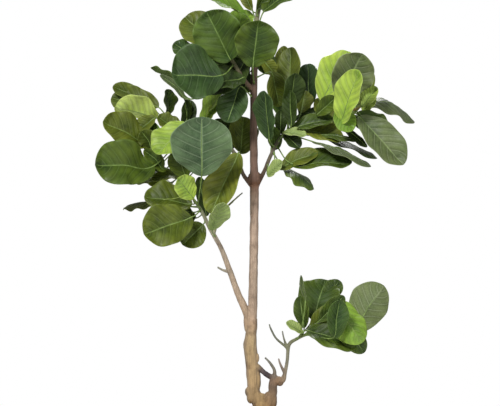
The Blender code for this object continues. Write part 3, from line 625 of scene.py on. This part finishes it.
smallLeaves = [  # small leaves that fill the crown and have no node: a name, then the same values
    ("leftSmallLeaf1", "left_twig", 6.3, (-222, 80, 832), (-284, 90, 855), 42, (-0.1, -0.6, 0.8), 4, 2,
     "olive"),
    ("leftSmallLeaf2", "left_twig", 5.6, (-203, 30, 846), (-214, 20, 912), 40, (0.9, -0.4, 0.1), 3, 3,
     "dark"),
    ("rightSmallLeaf1", "right_twig", 4.2, (58, -34, 812), (120, -54, 802), 40, (0, -0.6, 0.8), 3, 2, "pale"),
    ("rightSmallLeaf2", "right_twig", 8.8, (272, -46, 882), (312, -60, 932), 50, (-0.5, -0.8, 0.3), 3, 2,
     "light"),
    ("lowSmallLeaf1", "right_shoot", 7.9, (112, -16, 262), (66, -24, 291), 33, (0, -0.7, 0.7), 3, 2, "pale"),
    ("lowSmallLeaf2", "right_shoot", 7.6, (119, -8, 345), (107, -14, 420), 13, (-0.4, -0.8, 0.2), 3, 3,
     "grey"),
    ("rightInner1", "right_twig", 3.6, (77, -20, 821), (193, -40, 847), 58, (0, -0.7, 0.7), 6, 4, "dark"),
    ("rightInner2", "right_twig", 4.4, (105, 20, 817), (204, 0, 800), 55, (0.1, -0.7, 0.7), 6, 3, "shade"),
    ("rightInner3", "right_twig", 4.0, (83, 20, 842), (191, 30, 884), 36, (0, -0.5, 0.9), 5, 3, "shade"),
    ("rightInner4", "right_twig", 3.2, (60, -20, 807), (103, -40, 768), 45, (0, -0.8, 0.6), 4, 3, "shade"),
    ("rightInner5", "right_twig", 2.6, (43, -30, 716), (152, -60, 754), 58, (-0.1, -0.8, 0.6), 6, 4, "olive"),
    ("rightInner6", "right_twig", 3.8, (79, -30, 828), (76, -50, 925), 44, (-0.3, -0.9, 0.2), 5, 3, "shade"),
    ("rightInner7", "right_twig", 4.8, (117, 40, 821), (112, 60, 911), 44, (0.4, -0.8, 0.2), 5, 3, "shade"),
    ("rightInner8", "right_twig", 6.2, (194, 20, 825), (156, 50, 910), 60, (0.2, -0.8, 0.5), 5, 3, "olive"),
    ("rightInner9", "right_twig", 3.0, (56, 30, 848), (37, 60, 983), 56, (-0.2, -0.9, 0.2), 6, 4, "green"),
    ("rightInner10", "right_twig", 7.0, (211, 30, 842), (308, 70, 984), 64, (0.2, -0.9, 0.3), 6, 4, "olive"),
    ("rightInner11", "right_twig", 7.6, (246, -30, 850), (331, -60, 822), 62, (0.1, -0.9, 0.4), 6, -4,
     "dark"),
    ("rightInner12", "right_twig", 8.2, (274, -20, 867), (306, -30, 916), 44, (-0.2, -0.9, 0.3), 4, 3,
     "light"),
    ("rightInner13", "right_twig", 2.2, (28, 10, 825), (38, -5, 764), 40, (0.2, -0.9, 0.2), 4, 3, "green"),
    ("rightInner14", "right_twig", 5.4, (147, -30, 806), (255, -60, 786), 34, (0.1, -0.5, 0.9), 6, -2,
     "dark"),
    ("leftInner1", "left_twig", 4.6, (-198, -10, 692), (-246, -40, 757), 64, (-0.2, -0.9, 0.3), 5, 4, "dark"),
    ("leftInner2", "left_twig", 5.2, (-237, 10, 819), (-286, 0, 857), 50, (-0.1, -0.8, 0.6), 4, 3, "olive"),
    ("leftInner3", "left_twig", 5.0, (-211, 40, 826), (-200, 60, 905), 44, (0.3, -0.9, 0.2), 4, 3, "shade"),
    ("leftInner4", "left_twig", 3.6, (-158, 40, 765), (-222, 60, 849), 90, (-0.2, -0.9, 0.3), 6, 4, "shade"),
    ("leftInner5", "left_twig", 5.8, (-282, 30, 723), (-337, 20, 693), 60, (-0.1, -0.8, 0.6), 4, 3, "dark"),
    ("leftInner6", "left_twig", 4.2, (-222, 40, 704), (-304, 20, 682), 44, (0, -0.8, 0.7), 4, 3, "olive"),
    ("leftInner7", "left_twig", 2.6, (-83, 60, 766), (-134, 80, 850), 76, (0.1, -0.9, 0.2), 5, 4, "shade"),
    ("leftInner8", "left_twig", 2.2, (-72, 40, 743), (-127, 20, 659), 60, (-0.2, -0.9, 0.2), 5, 4, "dark"),
    ("leftInner9", "left_twig", 7.2, (-294, 40, 854), (-343, 30, 820), 50, (0, -0.8, 0.6), 4, 3, "olive"),
    ("crownInner1", "crown_twig", 1.2, (-52, -30, 965), (-152, -70, 919), 72, (-0.1, -0.9, 0.4), 6, 4,
     "shade"),
    ("crownInner2", "crown_twig", 1.8, (-66, 0, 978), (-137, -10, 1005), 80, (0, -0.9, 0.3), 5, 4, "shade"),
    ("crownInner3", "crown_twig", 2.6, (-94, 70, 962), (-156, 80, 895), 66, (-0.1, -0.9, 0.3), 5, 4,
     "forest"),
    ("crownInner4", "main_stem", 7.2, (-53, 60, 950), (-106, 80, 873), 70, (0, -0.9, 0.2), 5, 4, "shade"),
    ("crownInner5", "crown_twig", 3.2, (-138, 30, 1014), (-233, 50, 977), 110, (-0.2, -0.8, 0.4), 6, 5,
     "shade"),
    ("crownInner6", "main_stem", 8.0, (-27, 30, 1019), (-100, 60, 1100), 100, (0, -0.8, 0.5), 6, 5, "shade"),
    ("crownInner7", "main_stem", 8.2, (-11, 40, 1042), (22, 30, 975), 60, (0.2, -0.9, 0.2), 5, 4, "shade"),
    ("lowBranchInner1", "left_branch", 8.6, (-191, -40, 593), (-283, -60, 615), 64, (0, -0.8, 0.6), 5, 4,
     "dark"),
    ("lowBranchInner2", "left_branch", 8.2, (-181, -20, 577), (-252, -30, 582), 80, (0, -0.8, 0.6), 5, 4,
     "olive"),
    ("lowBranchInner3", "left_branch", 9.4, (-197, -30, 637), (-305, -50, 623), 26, (0, -0.6, 0.8), 4, 2,
     "light"),
    ("lowRightInner1", "right_shoot", 8.4, (135, 10, 275), (205, 10, 322), 60, (0, -0.8, 0.5), 6, 4, "olive"),
    ("lowRightInner2", "right_shoot", 7.8, (116, 10, 273), (105, 20, 361), 44, (-0.2, -0.9, 0.2), 4, 3,
     "dark"),
    ("lowRightInner3", "right_shoot", 8.8, (138, 20, 262), (232, 20, 273), 60, (0, -0.7, 0.7), 4, 3, "olive"),
    ("lowRightInner4", "right_shoot", 8.0, (153, -30, 293), (223, -50, 365), 46, (0.3, -0.9, 0.3), 4, 3,
     "dark"),
    ("topInner1", "main_stem", 9.4, (-27, 10, 1149), (-52, 20, 1206), 34, (-0.6, -0.8, 0.3), 4, 3, "olive"),
    ("topInner2", "main_stem", 9.2, (-12, -10, 1146), (12, -20, 1200), 36, (0.6, -0.8, 0.3), 4, 3, "dark"),
    ("crownInner8", "main_stem", 7.6, (-46, -16, 1008), (-80, -30, 942), 62, (-0.2, -0.9, 0.2), 5, 4,
     "shade"),
    ("crownInner9", "crown_twig", 0.8, (-52, 40, 937), (-133, 50, 949), 56, (0, -0.8, 0.5), 5, 4, "shade"),
    ("crownInner10", "main_stem", 7.4, (-2, 24, 1016), (36, 30, 975), 44, (0.3, -0.9, 0.2), 4, 3, "olive"),
    ("rightInner15", "right_twig", 5.0, (108, 20, 868), (120, 40, 930), 52, (0.2, -0.9, 0.2), 4, 3, "olive"),
    ("rightInner16", "right_twig", 6.6, (150, -40, 858), (200, -70, 905), 46, (0.3, -0.8, 0.4), 4, 3, "dark"),
    ("crownInner11", "main_stem", 7.8, (-33, 30, 981), (-100, 44, 1023), 60, (0, -0.9, 0.4), 5, 4, "shade"),
    ("crownInner12", "main_stem", 7.0, (-33, 24, 925), (-75, 34, 998), 52, (-0.1, -0.9, 0.2), 5, 4, "shade"),
    ("rightInner17", "right_twig", 7.4, (202, -84, 869), (241, -112, 811), 58, (-0.2, -0.9, 0.3), 5, 4,
     "young"),
    ("lowRightInner5", "right_shoot", 9.0, (207, -40, 305), (276, -66, 212), 64, (-0.1, -0.8, 0.5), 6, -4,
     "dark"),
    ("lowRightInner6", "right_shoot", 8.2, (190, -94, 255), (208, -112, 358), 60, (0.2, -0.8, 0.3), 5, 4,
     "forest"),
    ("leftInner10", "left_twig", 6.8, (-283, 40, 793), (-328, 50, 840), 46, (-0.1, -0.8, 0.5), 4, 3, "young"),
    ("leftInner11", "left_twig", 6.2, (-293, 24, 765), (-333, 10, 816), 52, (-0.2, -0.9, 0.3), 5, 4, "moss"),
    ("crownInner13", "crown_twig", 3.6, (-189, 50, 1021), (-245, 60, 1064), 50, (-0.3, -0.8, 0.4), 5, 4,
     "forest"),
    ("crownInner14", "crown_twig", 1.0, (-192, -16, 903), (-280, -6, 970), 22, (-0.2, -0.8, 0.5), 4, 3,
     "grey"),
    ("leftInner12", "left_twig", 5.2, (-151, -6, 843), (-121, -20, 886), 32, (-0.6, -0.8, 0.3), 4, 3,
     "bright"),
    ("rightInner18", "right_twig", 3.4, (50, 16, 808), (53, 20, 875), 36, (0.1, -0.9, 0.2), 4, 3, "shade"),
    ("leftInner13", "left_twig", 5.8, (-261, -4, 714), (-324, -14, 763), 40, (-0.1, -0.9, 0.4), 4, 3, "dark"),
    ("leftInner14", "left_branch", 9.4, (-154, 10, 582), (-174, 16, 690), 40, (0.2, -0.9, 0.2), 4, 3,
     "shade"),
    ("rightInner19", "right_twig", 4.4, (60, 110, 953), (63, 128, 1062), 46, (-0.3, -0.9, 0.2), 5, 4,
     "olive"),
    ("rightInner20", "right_twig", 7.4, (220, -40, 825), (285, -56, 770), 26, (0, -0.7, 0.6), 4, -2, "shade"),
    ("lowRightInner7", "right_shoot", 8.6, (179, 64, 342), (216, 80, 402), 54, (0, -0.8, 0.5), 4, 3, "dark"),
    ("leftInner15", "left_twig", 7.6, (-324, 118, 903), (-420, 122, 948), 50, (0.1, -0.9, 0.4), 5, 4,
     "olive"),
]
bladeMake = {
    "rows": 72, "columns": 24,  # the grid of one blade
    "thickness": 0.0011,
    "quilt": 0.0013,   # swell of the skin between two side veins
    "groove": 0.0010,  # depth of the midrib's furrow
    "fold": (0.16, 0.34),  # rise of each half away from the midrib, least and most
    "sink": 0.42,      # how much of the fold the midrib takes by sinking
    "wave": 0.1,     # height of the edge's waves, as a share of half the width
    "ripple": (0.016, 2.6),  # swellings of the outline: share of the width, and how many
    "stalk": 0.0018,
    "ribSink": 0.62,  # share of its radius by which the rib lies under the blade
}


def outline(u):  # half width along the blade, as a share of its greatest
    return math.sin(math.pi * u ** 1.25) ** 0.5


def stalkStart(twig, place, bladeStart):  # where a stalk leaves the bark
    route = stems[twig]["route"]
    centre, radius = alongRoute(route, place)
    ahead, _ = alongRoute(route, place + 0.05)
    behind, _ = alongRoute(route, place - 0.05)
    towards = (bladeStart - centre).normalized()
    lean = abs(towards.dot((ahead - behind).normalized()))
    return centre + towards * radius / math.sqrt(1 - lean * lean)


def leafStations(start, base, tip, faces, arch):  # untwisted (place, centre, forward, side) to the tip
    spine = [start, base, (base + tip) / 2 + faces * arch, tip]
    rows = bladeMake["rows"]
    shares = [0.55 * i / rows + 0.45 * (1 - math.cos(math.pi * i / rows)) / 2 for i in range(rows + 1)]
    places = [i / 10 for i in range(10)] + [1 + 2 * u for u in shares]
    centres = [between(spine, place) for place in places]
    forwards = [(between(spine, min(p + 0.01, 3)) - between(spine, max(p - 0.01, 0))).normalized()
                for p in places]
    steady = min(range(len(places)), key=lambda i: abs(places[i] - 2))
    sides = {steady: faces.cross(forwards[steady]).normalized()}
    for i in range(steady + 1, len(places)):
        sides[i] = forwards[i - 1].rotation_difference(forwards[i]) @ sides[i - 1]
    for i in range(steady - 1, -1, -1):
        sides[i] = forwards[i + 1].rotation_difference(forwards[i]) @ sides[i + 1]
    return [(p, centres[i], forwards[i], sides[i]) for i, p in enumerate(places)]


def buildLeaf(name, twig, place, bladeStart, tip, width, faces, arch, cup, tone, seed):
    chance = random.Random(seed)
    base, halfWidth = grown(bladeStart), width / 2 * plant["mm"]
    start = stalkStart(twig, place, base)
    looks = Vector(faces).normalized()
    stations = leafStations(start, base, grown(tip), looks, arch * plant["mm"])
    blade = [row for row in stations if row[0] >= 1]
    rows, columns = bladeMake["rows"], bladeMake["columns"]
    deselect()
    bpy.ops.mesh.primitive_grid_add(x_subdivisions=columns, y_subdivisions=rows, size=2, location=(0, 0, 0))
    leaf = bpy.context.object
    mesh = leaf.data
    mesh.uv_layers[0].name = "bladeShare"
    rippleDepth, rippleCount = bladeMake["ripple"]
    waves = [chance.uniform(1.6, 2.8) for _ in range(2)]
    shifts = [chance.uniform(0, 1) for _ in range(2)]
    lobes = chance.uniform(0, 1)
    fold = chance.uniform(*bladeMake["fold"]) * (1 if cup > 0 else -1)
    sink = {row[0]: fold * bladeMake["sink"] * halfWidth * smooth(1.0, 1.4, row[0]) * smooth(3.0, 2.7, row[0])
            for row in stations}
    for vertex in mesh.vertices:
        row = round((vertex.co.y + 1) / 2 * rows)
        u, (_, centre, forward, side) = (blade[row][0] - 1) / 2, blade[row]
        x = -vertex.co.x
        a = abs(x)
        half = int(x > 0)
        lobe = math.sin(2 * math.pi * (rippleCount * u + lobes + 0.3 * half))
        ripple = 1 + rippleDepth * lobe * smooth(0.1, 0.3, u)
        reach = max(halfWidth * outline(u) * ripple, 0.0016 if u < 0.5 else 0.0004)
        phase = (u - veins["sweep"] * a ** veins["power"]) * veins["pairs"]
        phase += veins["stagger"] * (vertex.co.x > 0)
        body = min(1.0, reach / halfWidth * 1.4)
        quilt = bladeMake["quilt"] * math.sin(math.pi * phase) ** 2
        quilt = quilt * smooth(0.04, 0.25, a) * smooth(1.0, 0.8, a) * body
        wave = bladeMake["wave"] * halfWidth * a * a * body
        wave = wave * math.sin(2 * math.pi * (waves[half] * u + shifts[half])) * smooth(0.0, 0.25, u)
        groove = bladeMake["groove"] * math.exp(-(a * reach / 0.003) ** 2) * body
        turn = cup * plant["mm"] * (a * reach / halfWidth) ** 2 + fold * a * reach - sink[blade[row][0]]
        up = forward.cross(side)
        vertex.co = centre + side * x * reach + up * (turn + wave + quilt - groove)
    for loop in mesh.loops:
        row = loop.vertex_index // (columns + 1)
        spot = mesh.uv_layers[0].data[loop.index]
        spot.uv = (spot.uv[0], (blade[row][0] - 1) / 2)
    dress(leaf, leafTops[tone], leafBacks[tone], leafStalk)
    shell = leaf.modifiers.new("thickness", "SOLIDIFY")
    shell.thickness, shell.offset = bladeMake["thickness"], 0.0
    shell.material_offset = shell.material_offset_rim = 1
    applyAll(leaf)
    stalk = []
    for p, centre, forward, side in stations:
        u = (p - 1) / 2
        up = forward.cross(side)
        if u > 0.96:
            break
        if u < 0:
            flare = 1 + 0.6 * smooth(0.25, 0.0, p)
            stalk.append((centre, bladeMake["stalk"] * flare))
        elif round(u * rows) % 2 == 0:
            radius = bladeMake["stalk"] * (1 - u) ** 0.8 + 0.0003
            below = radius * bladeMake["ribSink"] * smooth(0.0, 0.1, u) + sink[p]
            stalk.append((centre - up * below, radius))
    first = stations[0]
    stalk.insert(0, (first[1] - first[2] * 0.003, bladeMake["stalk"] * 1.7))
    rib = addTube(name + "Rib", stalk, 2)
    dress(rib, leafStalk)
    shadeSmooth(leaf)
    shadeSmooth(rib)
    leaf = joined([leaf, rib], name)
    tint = leaf.data.attributes.new("leafTint", "FLOAT", "POINT")
    tint.data.foreach_set("value", [chance.uniform(-1, 1)] * len(leaf.data.vertices))
    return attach(leaf, "root")


def pieceName(node):  # left_leaf_3 becomes leftLeaf3
    first, *rest = node.split("_")
    return first + "".join(part.capitalize() for part in rest)


seeds = {"leaves": 11, "smallLeaves": 301}
for number, row in enumerate(leaves):
    look = otherLooks.get(row[0], row[-1])
    leaf = buildLeaf(pieceName(row[0]), *row[1:-1], look, seed=number + seeds["leaves"])
    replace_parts(leaf, row[0])
for number, row in enumerate(smallLeaves):
    buildLeaf(*row, seed=number + seeds["smallLeaves"])
print("leaves grown:", len(leaves) + len(smallLeaves))

buds = [  # closed shoot tips: stem, length in mm, radius in mm
    ("main_stem", 26, 3.6), ("crown_twig", 24, 3.4), ("left_twig", 22, 3.2), ("right_twig", 24, 3.2),
    ("left_branch", 20, 3.2), ("right_shoot", 22, 3.0),
]


def buildBuds():
    made = []
    for stem, length, radius in buds:
        route = stems[stem]["route"]
        tip, before = grown(route[-1]), grown(route[-2])
        forward = (tip - before).normalized()
        profile = [(-3, 0.9), (0, 1.0), (3, 1.15), (7, 1.1), (12, 0.8), (17, 0.45), (21, 0.2), (24, 0.04)]
        row = [(tip + forward * at / 24 * length * plant["mm"], share * radius * plant["mm"])
               for at, share in profile]
        made.append(addTube(stem + "Bud", row, 3))
    bud = joined(made, "shootBuds")
    shadeSmooth(bud)
    dress(bud, budScale)
    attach(bud, "root")


buildBuds()

pot = {
    "sides": 128, "baseRadius": 0.086, "topRadius": 0.120, "height": 0.200, "wall": 0.007, "floor": 0.010,
    "rimDepth": 0.026, "rimOut": 0.005, "worn": 0.0012,
}


def potOuter(height):
    return pot["baseRadius"] + (pot["topRadius"] - pot["baseRadius"]) * height / pot["height"]


def potInner(height):
    low, high = potOuter(pot["floor"]) - pot["wall"], pot["topRadius"] - pot["wall"]
    return low + (high - low) * (height - pot["floor"]) / (pot["height"] - pot["floor"])


def addDisc(sides, radius, height):
    deselect()
    bpy.ops.mesh.primitive_circle_add(vertices=sides, radius=radius, fill_type="NGON",
                                      location=(0, 0, height))
    return bpy.context.object


def extrudeRing(radius, height, last):  # pulls the selected cap to its next ring
    bpy.ops.mesh.extrude_region_move(TRANSFORM_OT_translate={"value": (0, 0, height - last[1])})
    ratio = radius / last[0]
    bpy.ops.transform.resize(value=(ratio, ratio, 1), center_override=(0, 0, height))
    return radius, height


def raiseRings(piece, start, rings):  # turns the disc into a round body, ring by ring
    bpy.ops.object.mode_set(mode="EDIT")
    bpy.ops.mesh.select_mode(type="FACE")
    bpy.ops.mesh.select_all(action="SELECT")
    for radius, height in rings:
        start = extrudeRing(radius, height, start)
    bpy.ops.object.mode_set(mode="OBJECT")
    tidyShell(piece)


def buildPot():
    top, rim, band = pot["height"], pot["topRadius"] + pot["rimOut"], pot["height"] - pot["rimDepth"]
    inside = pot["topRadius"] - pot["wall"]
    rings = [(pot["baseRadius"] - 0.001, 0.0012), (potOuter(0.004), 0.004), (potOuter(0.06), 0.06),
             (potOuter(0.12), 0.12), (potOuter(band - 0.004), band - 0.004), (potOuter(band) + 0.0008, band),
             (rim - 0.0015, band + 0.0008), (rim, band + 0.004), (rim, top - 0.005),
             (rim - 0.0012, top - 0.0014), (rim - 0.004, top), (inside + 0.004, top),
             (inside + 0.0012, top - 0.0012), (inside, top - 0.005), (potInner(0.1), 0.1),
             (potInner(pot["floor"]), pot["floor"])]
    start = (pot["baseRadius"] - 0.004, 0.0)
    piece = addDisc(pot["sides"], *start)
    piece.name = "terracottaPot"
    raiseRings(piece, start, rings)
    edges = piece.modifiers.new("worn edges", "BEVEL")
    edges.width, edges.segments = pot["worn"], 3
    edges.limit_method, edges.angle_limit = "ANGLE", math.radians(35)
    applyAll(piece)
    only(piece)
    bpy.ops.object.shade_smooth_by_angle(angle=math.radians(40))
    dress(piece, terracotta)
    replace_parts(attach(piece, "root"), "pot")


soil = {
    "edge": 0.169, "middle": 0.175, "sides": 96, "voxel": 0.0024, "lumps": 0.0022,
    "grit": 0.28,  # how uneven one grain is
    "seed": 5,
}
grains = [  # what lies on the soil: size in metres, stretch, finish and how many
    (0.0042, (1.5, 0.9, 0.5), barkChip, 63), (0.0033, (1.2, 1.0, 0.55), barkChip, 126),
    (0.0017, (1.0, 0.9, 0.8), perlite, 70),
]


def soilHeight(x, y):
    share = min(1.0, math.hypot(x, y) / potInner(soil["edge"]))
    return soil["edge"] + (soil["middle"] - soil["edge"]) * (1 - share ** 2)


def grain(size, stretch, material):  # one broken grain, as its own small mesh
    deselect()
    bpy.ops.mesh.primitive_ico_sphere_add(subdivisions=2, radius=size, location=(0, 0, 0))
    piece = bpy.context.object
    for vertex in piece.data.vertices:
        vertex.co *= 1 + soil["grit"] * noise.noise(vertex.co / size * 1.3 + Vector((size * 900, 2, 5)))
        vertex.co = Vector([c * s for c, s in zip(vertex.co, stretch)])
    dress(piece, material)
    return piece


def scatter(model, count, chance):
    copies = []
    for _ in range(count):
        turn = chance.uniform(0, 2 * math.pi)
        reach = potInner(soil["edge"]) * math.sqrt(chance.uniform(0.06, 0.93))
        x, y = reach * math.cos(turn), reach * math.sin(turn)
        piece = model.copy()
        piece.data = model.data.copy()
        spin = Matrix.Rotation(chance.uniform(0, 6.28), 4, "Z")
        tilt = spin @ Matrix.Rotation(chance.uniform(-0.5, 0.5), 4, "X")
        size = Matrix.Scale(chance.uniform(0.6, 1.25), 4)
        piece.data.transform(Matrix.Translation((x, y, soilHeight(x, y) + 0.0012)) @ tilt @ size)
        bpy.context.scene.collection.objects.link(piece)
        copies.append(piece)
    return copies


def buildSoil():
    floor = pot["floor"] + 0.0005
    first = (potInner(floor) - 0.0005, floor)
    bed = addDisc(soil["sides"], *first)
    edge = potInner(soil["edge"]) - 0.0004
    reaches = [edge * share for share in (1.0, 0.85, 0.7, 0.5, 0.3, 0.1)]
    raiseRings(bed, first, [(reach, soilHeight(reach, 0)) for reach in reaches])
    bed.data.remesh_voxel_size = soil["voxel"]
    only(bed)
    bpy.ops.object.voxel_remesh()
    for vertex in bed.data.vertices:
        if vertex.co.z < soil["edge"] - 0.002:
            continue
        x, y, _ = vertex.co
        lumps = noise.noise(Vector((x * 150, y * 150, 3))) + 0.6 * noise.noise(Vector((x * 340, y * 340, 8)))
        vertex.co.z += soil["lumps"] * (lumps - 0.35)
    dress(bed, peat)
    shadeSmooth(bed)
    chance = random.Random(soil["seed"])
    models = [grain(*row[:3]) for row in grains]
    crumbs = [piece for model, row in zip(models, grains) for piece in scatter(model, row[3], chance)]
    for model in models:
        bpy.data.objects.remove(model, do_unlink=True)
    piece = joined([bed] + crumbs, "pottingSoil")
    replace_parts(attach(piece, "root"), "soil")


buildPot()
buildSoil()
print("pot and soil made")

studio = {
    "floorRadius": 1.75, "paper": "#f4f3f0",
    "backdrop": 1.0, "fillLight": 0.38,  # strength of the white room as seen, and as it lights
    "cameraFrom": (-0.033, -4.5, 0.793), "frameWidth": 1.375,  # metres across the frame at the stem
    # each softbox: place, aim, width, watts
    "lights": [((-1.3, -2.7, 3.0), (0, 0, 0.9), 0.8, 135.0), ((2.0, -2.4, 1.5), (0, 0, 0.7), 1.0, 32.0),
               ((0.2, 1.9, 2.9), (0, 0, 0.95), 1.0, 60.0)],
}


def setStudio():
    scene = bpy.context.scene
    floor = addDisc(128, studio["floorRadius"], 0.0)
    floor.name = "paperFloor"
    paper, tree, shader = newMaterial("mattPaper", Base_Color=colour(studio["paper"]), Roughness=0.95)
    carve(tree, shader, clouds(tree, ownSpot(tree), 600.0), 0.05, 0.0005)
    dress(floor, paper)
    world = bpy.data.worlds.new("whiteRoom")
    scene.world = world
    world.use_nodes = True
    tree = world.node_tree
    background = tree.nodes["Background"]
    background.inputs[0].default_value = (1, 1, 1, 1)
    seen = addNode(tree, "LightPath").outputs["Is Camera Ray"]
    strength = remap(tree, seen, 0.0, 1.0, studio["fillLight"], studio["backdrop"])
    tree.links.new(strength, background.inputs[1])
    for number, (place, aim, width, watts) in enumerate(studio["lights"]):
        light = bpy.data.lights.new(f"softbox{number + 1}", "AREA")
        light.shape, light.size, light.energy = "SQUARE", width, watts
        lamp = bpy.data.objects.new(light.name, light)
        lamp.location = place
        lamp.rotation_euler = (Vector(aim) - Vector(place)).to_track_quat("-Z", "Y").to_euler()
        scene.collection.objects.link(lamp)
    lens = bpy.data.cameras.new("camera")
    lens.sensor_width = 36
    lens.lens = 36 * -studio["cameraFrom"][1] / studio["frameWidth"]
    camera = bpy.data.objects.new("camera", lens)
    camera.location = studio["cameraFrom"]
    camera.rotation_euler = (math.radians(90), 0, 0)
    scene.collection.objects.link(camera)
    scene.camera = camera
    scene.view_settings.view_transform = "Standard"


setStudio()
print("studio set")
